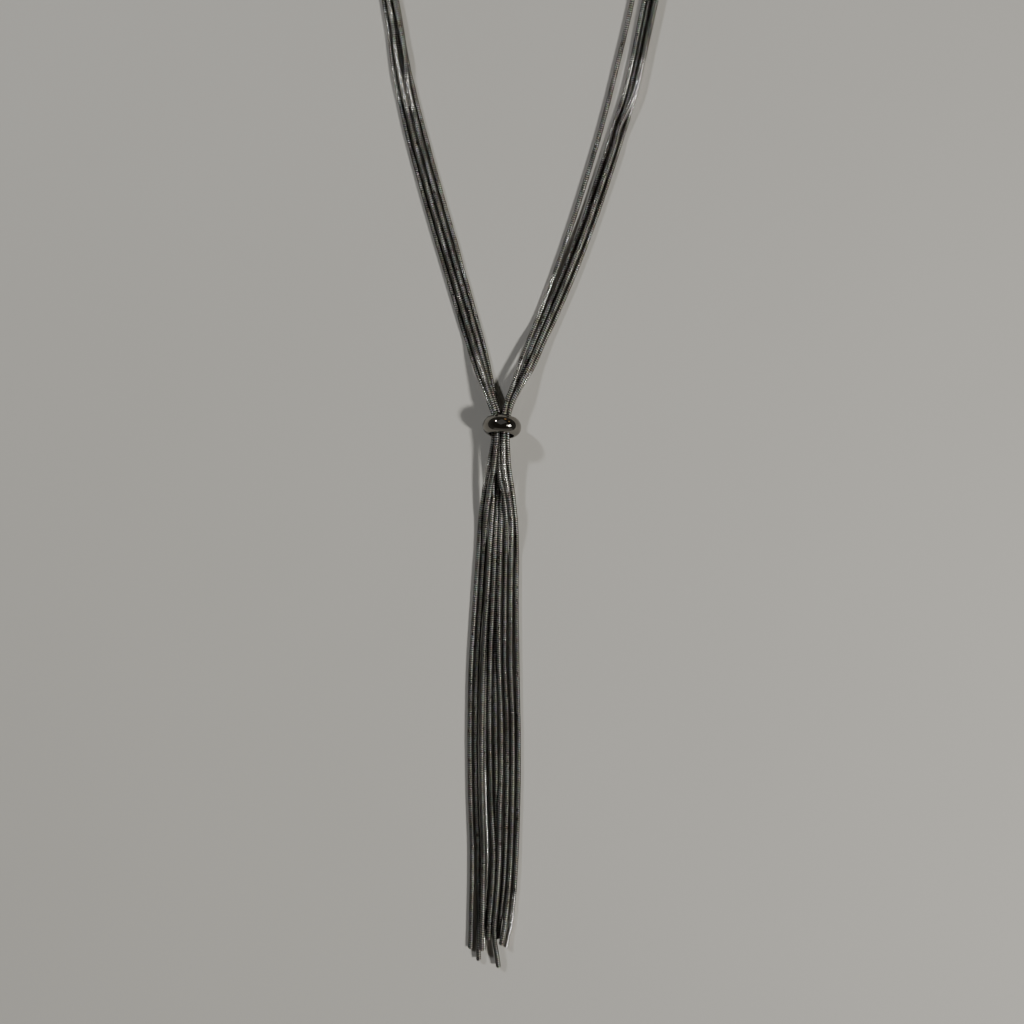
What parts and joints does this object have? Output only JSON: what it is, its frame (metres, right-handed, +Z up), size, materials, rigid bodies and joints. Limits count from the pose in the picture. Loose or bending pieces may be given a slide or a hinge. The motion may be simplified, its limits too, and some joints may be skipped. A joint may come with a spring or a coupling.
{
  "type": "lariat necklace",
  "caption": "Lariat necklace of fine round snake chains that pass through one polished slider and hang on below it as a tassel of cut ends, lying flat as set down.",
  "frame": {"origin": "on the surface that the necklace lies on, under the middle of its whole box", "axes": "+X to the right as seen from above with the tassel towards the viewer, +Y from the tassel to the clasp at the back of the neck, +Z up from the surface"},
  "size_m": [0.0882, 0.3152, 0.008],
  "materials": {
    "snake_chain": "dark rhodium plated round snake chain, bright ribs with dark gaps",
    "polished_bead": "mirror polished, rhodium plated",
    "polished_clasp": "polished, rhodium plated"
  },
  "bodies": {
    "root": {"strand_left_1": "snake_chain", "strand_left_2": "snake_chain", "strand_left_3": "snake_chain", "strand_left_4": "snake_chain", "strand_left_5": "snake_chain", "strand_right_1": "snake_chain", "strand_right_2": "snake_chain", "strand_right_3": "snake_chain", "strand_right_4": "snake_chain", "strand_right_5": "snake_chain", "slider_bead": "polished_bead", "clasp": "polished_clasp"}
  },
  "joints": []
}
